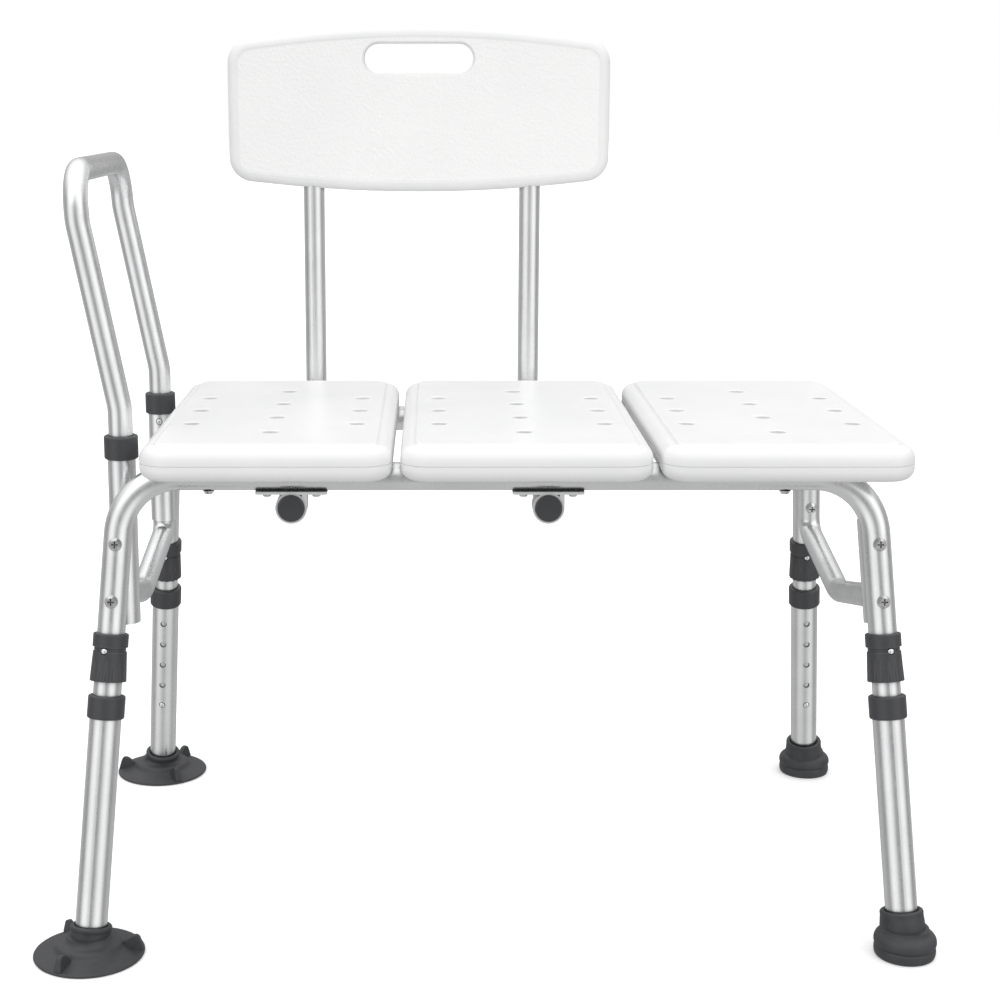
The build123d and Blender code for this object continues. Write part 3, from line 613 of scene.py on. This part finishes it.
def softened(profile, rounds=2):
    """Profile with its corners cut, for rounder transitions."""
    for _ in range(rounds):
        finer = [profile[0]]
        for (r0, h0), (r1, h1) in zip(profile, profile[1:]):
            finer.append((0.75 * r0 + 0.25 * r1, 0.75 * h0 + 0.25 * h1))
            finer.append((0.25 * r0 + 0.75 * r1, 0.25 * h0 + 0.75 * h1))
        finer.append(profile[-1])
        profile = finer
    return profile


def foot(corner, body_profile, underside, socket_profile):
    """Rubber foot: a round body on the floor and a socket in line with the leg, bored for the tube."""
    name = f"{FEET[corner]}_{corner}"
    ground, axis = leg_axis(corner)
    up = Vector((0, 0, 1))
    bm = bmesh.new()
    top = body_profile[-1][1] * MM
    core = CORE_RADIUS * MM
    profile = [(core, underside * MM)] + softened(in_metres(body_profile)) + [(core, top)]
    revolve(bm, profile, ground, up)
    piece = finish_mesh(f"{name}_skin", bm, [rubber])
    socket = bmesh.new()
    revolve(socket, softened(in_metres(socket_profile)), ground, axis)
    combine(piece, socket, "UNION")
    if corner in TAB_ANGLES:
        for k in range(3):
            combine(piece, release_tab(ground, radians(TAB_ANGLES[corner] + 120 * k)), "UNION")
    bore = bmesh.new()
    revolve(bore, in_metres(((TUBE_RADIUS, TUBE_START), (TUBE_RADIUS, BORE_END))), ground, axis, BORE_STEPS)
    combine(piece, bore, "DIFFERENCE")
    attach(piece, f"leg_{corner}")
    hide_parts(name)


def release_tab(ground, angle):
    """Wedge that stands on the rim of a suction cup, as a bmesh."""
    radial, tangent = Vector((cos(angle), sin(angle), 0)), Vector((-sin(angle), cos(angle), 0))
    outline = softened(TAB_OUTLINE + TAB_OUTLINE[:1], 1)[:-1]
    loops = []
    for across, inset in TAB_LAYERS:
        loop = []
        for reach, height in draw_in(outline, inset):
            half = TAB_HALF * (TAB_FOOT - TAB_TAPER * height)
            loop.append(ground + (radial * reach + tangent * (across * half) + Vector((0, 0, height))) * MM)
        loops.append(loop)
    bm = bmesh.new()
    skin(bm, loops)
    return bm


FEET = {
    "front_left": "suction_cup",
    "rear_left": "suction_cup",
    "front_right": "rubber_tip",
    "rear_right": "rubber_tip",
}
for corner, kind in FEET.items():
    if kind == "suction_cup":
        foot(corner, CUP_PROFILE, CUP_UNDERSIDE, CUP_SOCKET)
    else:
        foot(corner, TIP_PROFILE, TIP_UNDERSIDE, TIP_SOCKET)


# ---------------------------------------------------------------- stage, light and camera
# Brightness of the surround: between and on the four corner panels, from above and from below
PANEL_DIM = 0.34
PANEL_FRONT = 1.19
PANEL_REAR = 0.55
OVERHEAD = 1.5
UNDER = 0.6
# Where each brightness gives way to the next: from front to rear in Y, across a panel, and upwards in Z
REAR_FADE = (-0.3, 0.3)
PANEL_FADE = (0.2, 1.0)
UNDER_FADE = (-0.75, -0.35)
OVERHEAD_FADE = (0.25, 0.8)

FLOOR_SIZE = 30
SEAT_MIDDLE = (0.0, 0.0, 0.45)
# Name, place, width and power of each lamp
LAMPS = (
    ("key_light", (-1.6, -1.9, 2.4), 1.6, 5.5),
    ("fill_light", (2.2, -1.4, 1.5), 1.8, 3),
)

CAMERA_PLACE = (-0.0475, -1.7779, 0.7602)
CAMERA_TIP = 11.18
CAMERA_LENS = 66.34
CAMERA_SENSOR = 36.0
CAMERA_SHIFT = (0.0679, -0.0395)


def stage_floor():
    """Wide pale floor under the bench."""
    bm = bmesh.new()
    bmesh.ops.create_grid(bm, x_segments=8, y_segments=8, size=FLOOR_SIZE)
    mesh = bpy.data.meshes.new("floor")
    bm.to_mesh(mesh)
    bm.free()
    floor = bpy.data.objects.new("floor", mesh)
    bpy.context.scene.collection.objects.link(floor)
    shader = Shader("floor_white", (0.93, 0.93, 0.93), 0.9)
    shader.bsdf.inputs["Specular IOR Level"].default_value = 0.1
    shader.bsdf.inputs["Emission Color"].default_value = (1, 1, 1, 1)
    shader.bsdf.inputs["Emission Strength"].default_value = 0.2
    mesh.materials.append(shader.material)
    floor.visible_glossy = False
    floor.visible_diffuse = False


def soft_world():
    """White surround, bright overhead; four soft panels at its corners give the tubes their streaks."""
    world = bpy.data.worlds.new("studio")
    bpy.context.scene.world = world
    world.use_nodes = True
    nodes, links = world.node_tree.nodes, world.node_tree.links

    def value(kind, operation, *inputs):
        """Maths node on values or sockets."""
        node = nodes.new(kind)
        node.operation = operation
        for k, given in enumerate(inputs):
            if isinstance(given, (int, float)):
                node.inputs[k].default_value = given
            else:
                links.new(given, node.inputs[k])
        return node.outputs[0]

    def span(given, low, high, to_low, to_high):
        """Map a socket from one range to another, clamped."""
        node = nodes.new("ShaderNodeMapRange")
        for name, number in (("From Min", low), ("From Max", high)):
            node.inputs[name].default_value = number
        for name, number in (("To Min", to_low), ("To Max", to_high)):
            if isinstance(number, (int, float)):
                node.inputs[name].default_value = number
            else:
                links.new(number, node.inputs[name])
        links.new(given, node.inputs["Value"])
        return node.outputs["Result"]

    split = nodes.new("ShaderNodeSeparateXYZ")
    links.new(nodes.new("ShaderNodeTexCoord").outputs["Generated"], split.inputs["Vector"])
    azimuth = value("ShaderNodeMath", "ARCTAN2", split.outputs["X"], split.outputs["Y"])
    panels = value("ShaderNodeMath", "SINE", value("ShaderNodeMath", "MULTIPLY", azimuth, 2.0))
    panels = value("ShaderNodeMath", "ABSOLUTE", panels)
    brightest = span(split.outputs["Y"], *REAR_FADE, PANEL_FRONT, PANEL_REAR)
    around = span(panels, *PANEL_FADE, PANEL_DIM, brightest)
    around = span(split.outputs["Z"], *UNDER_FADE, UNDER, around)
    level = span(split.outputs["Z"], *OVERHEAD_FADE, around, OVERHEAD)
    seen = nodes.new("ShaderNodeLightPath").outputs["Is Camera Ray"]
    links.new(span(seen, 0.0, 1.0, level, 1.0), nodes["Background"].inputs["Strength"])
    nodes["Background"].inputs["Color"].default_value = (1, 1, 1, 1)


def area_light(name, place, target, size, power):
    """Square soft light that faces a target."""
    light = bpy.data.lights.new(name, "AREA")
    light.shape = "SQUARE"
    light.size = size
    light.energy = power
    lamp = bpy.data.objects.new(name, light)
    lamp.location = place
    lamp.rotation_euler = (Vector(target) - Vector(place)).to_track_quat("-Z", "Y").to_euler()
    bpy.context.scene.collection.objects.link(lamp)


def photo_camera():
    """Camera in front of the bench, above it and tipped down."""
    data = bpy.data.cameras.new("camera")
    data.sensor_width = CAMERA_SENSOR
    data.lens = CAMERA_LENS
    data.shift_x, data.shift_y = CAMERA_SHIFT
    camera = bpy.data.objects.new("camera", data)
    camera.location = CAMERA_PLACE
    camera.rotation_euler = (radians(90 - CAMERA_TIP), 0, 0)
    bpy.context.scene.collection.objects.link(camera)
    bpy.context.scene.camera = camera


stage_floor()
soft_world()
for lamp_name, lamp_place, lamp_size, lamp_power in LAMPS:
    area_light(lamp_name, lamp_place, SEAT_MIDDLE, lamp_size, lamp_power)
photo_camera()
bpy.context.scene.view_settings.view_transform = "Standard"
